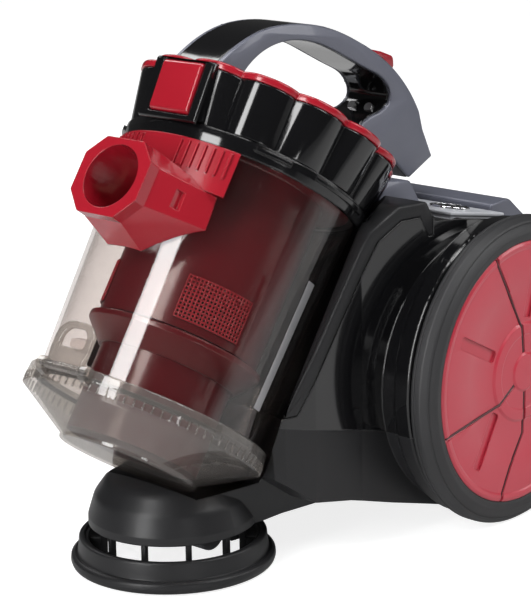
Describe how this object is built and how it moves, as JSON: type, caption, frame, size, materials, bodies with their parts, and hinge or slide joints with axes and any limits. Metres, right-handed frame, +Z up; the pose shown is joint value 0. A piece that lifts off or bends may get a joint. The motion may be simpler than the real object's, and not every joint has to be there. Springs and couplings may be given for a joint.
{
  "type": "canister vacuum cleaner",
  "caption": "Bagless canister vacuum cleaner with a tilted clear dust cup, arched handle, two big side wheels and a swivelling front foot.",
  "frame": {"origin": "on the floor, under the centre of the bounding box", "axes": "+Z up, -Y towards the hose inlet at the front, +X towards the machine's own left wheel"},
  "size_m": [0.2486, 0.3865, 0.3246],
  "materials": {
    "gloss_black": "gloss",
    "satin_black": "satin",
    "slate_grey": "satin",
    "light_grey": "satin",
    "gloss_red": "gloss",
    "chrome": "polished",
    "tyre_rubber": "satin",
    "clear_cup": "clear",
    "smoked_clear": "clear",
    "red_clear": "clear",
    "dark_red": "gloss",
    "seal_rubber": "matte",
    "steel": "brushed",
    "inner_plastic": "matte",
    "stator_iron": "matte",
    "filter_foam": "matte",
    "circuit_board": "matte"
  },
  "bodies": {
    "base": {"upper_housing": "gloss_black", "cradle_rim": "satin_black", "lower_housing": "satin_black", "intake_neck": "slate_grey", "top_panel": "light_grey", "exhaust_grille": "slate_grey", "cord_outlet": "seal_rubber", "housing_screws": "steel", "button_rings": "chrome", "fan_housing": "inner_plastic", "motor_can": "steel", "stator": "stator_iron", "motor_bracket": "inner_plastic", "motor_cushions": "seal_rubber", "intake_duct": "inner_plastic", "pre_motor_filter": "filter_foam", "exhaust_filter": "filter_foam", "reel_spindle": "steel", "control_board": "circuit_board", "axle_stubs": "steel", "axle_screws": "steel"},
    "wheel_left": {"tyre_left": "tyre_rubber", "rim_left": "satin_black", "hub_cap_left": "gloss_red"},
    "wheel_right": {"tyre_right": "tyre_rubber", "rim_right": "satin_black", "hub_cap_right": "gloss_red"},
    "swivel_foot": {"swivel_ring": "satin_black", "roller_axle": "steel", "swivel_pin": "steel"},
    "caster": {"caster_roller": "tyre_rubber"},
    "motor_rotor": {"rotor": "steel", "impeller": "inner_plastic"},
    "reel": {"cord_reel": "inner_plastic"},
    "power": {"power_button": "chrome"},
    "rewind": {"rewind_button": "chrome"},
    "cup": {"dust_cup": "clear_cup", "flap_hinge_pin": "steel", "cup_catch": "inner_plastic", "cup_collar": "gloss_black", "inlet_port": "gloss_red", "guide_vane": "inner_plastic"},
    "flap": {"bottom_flap": "smoked_clear", "flap_seal": "seal_rubber", "latch_pin": "steel"},
    "latch": {"flap_latch": "smoked_clear"},
    "lid": {"cup_lid": "gloss_black", "lid_trim": "gloss_red", "button_bezel": "gloss_black", "lid_seal": "seal_rubber", "shroud": "red_clear", "shroud_screens": "dark_red", "shroud_skirt": "red_clear", "dust_tube": "dark_red", "pleated_filter": "filter_foam", "handle_core": "gloss_black", "handle_cheeks": "slate_grey", "handle_screws": "steel"},
    "lid_release": {"lid_button": "gloss_red"},
    "cup_release_key": {"cup_release": "gloss_red"}
  },
  "joints": [
    {"name": "wheel_left_spin", "type": "hinge", "parent": "base", "child": "wheel_left", "pos_m": [0.115, 0.0933, 0.1], "axis": [1, 0, 0], "continuous": true},
    {"name": "wheel_right_spin", "type": "hinge", "parent": "base", "child": "wheel_right", "pos_m": [-0.115, 0.0933, 0.1], "axis": [1, 0, 0], "continuous": true},
    {"name": "foot_swivel", "type": "hinge", "parent": "base", "child": "swivel_foot", "pos_m": [0, -0.1037, 0.03], "axis": [0, 0, 1], "continuous": true},
    {"name": "caster_spin", "type": "hinge", "parent": "swivel_foot", "child": "caster", "pos_m": [0, -0.0757, 0.011], "axis": [1, 0, 0], "continuous": true},
    {"name": "rotor_spin", "type": "hinge", "parent": "base", "child": "motor_rotor", "pos_m": [0, 0.0893, 0.098], "axis": [1, 0, 0], "continuous": true},
    {"name": "reel_spin", "type": "hinge", "parent": "base", "child": "reel", "pos_m": [0, 0.0933, 0.1], "axis": [1, 0, 0], "continuous": true},
    {"name": "power_press", "type": "slide", "parent": "base", "child": "power", "axis": [0, -0.1781, -0.984], "range_m": [0, 0.003], "stiffness_N_per_m": 300},
    {"name": "rewind_press", "type": "slide", "parent": "base", "child": "rewind", "axis": [0, -0.1781, -0.984], "range_m": [0, 0.003], "stiffness_N_per_m": 300},
    {"name": "cup_off", "type": "slide", "parent": "base", "child": "cup", "axis": [0, -0.8241, 0.5664], "range_m": [0, 0.4]},
    {"name": "flap_open", "type": "hinge", "parent": "cup", "child": "flap", "pos_m": [0, -0.05912, 0.05232], "axis": [1, 0, 0], "range_deg": [0, 80]},
    {"name": "latch_swing", "type": "hinge", "parent": "flap", "child": "latch", "pos_m": [0, -0.19016, 0.1436], "axis": [1, 0, 0], "range_deg": [0, 70]},
    {"name": "lid_off", "type": "slide", "parent": "cup", "child": "lid", "axis": [0, 0.5664, 0.8241], "range_m": [0, 0.2]},
    {"name": "lid_press", "type": "slide", "parent": "lid", "child": "lid_release", "axis": [0, 0.8241, -0.5664], "range_m": [0, 0.003], "stiffness_N_per_m": 300},
    {"name": "release_press", "type": "slide", "parent": "lid", "child": "cup_release_key", "axis": [0, -0.5664, -0.8241], "range_m": [0, 0.003], "stiffness_N_per_m": 300}
  ],
  "couplings": [
    {"joint": "flap_open", "follows": "cup_off", "rad_per_m": 3.4907}
  ]
}
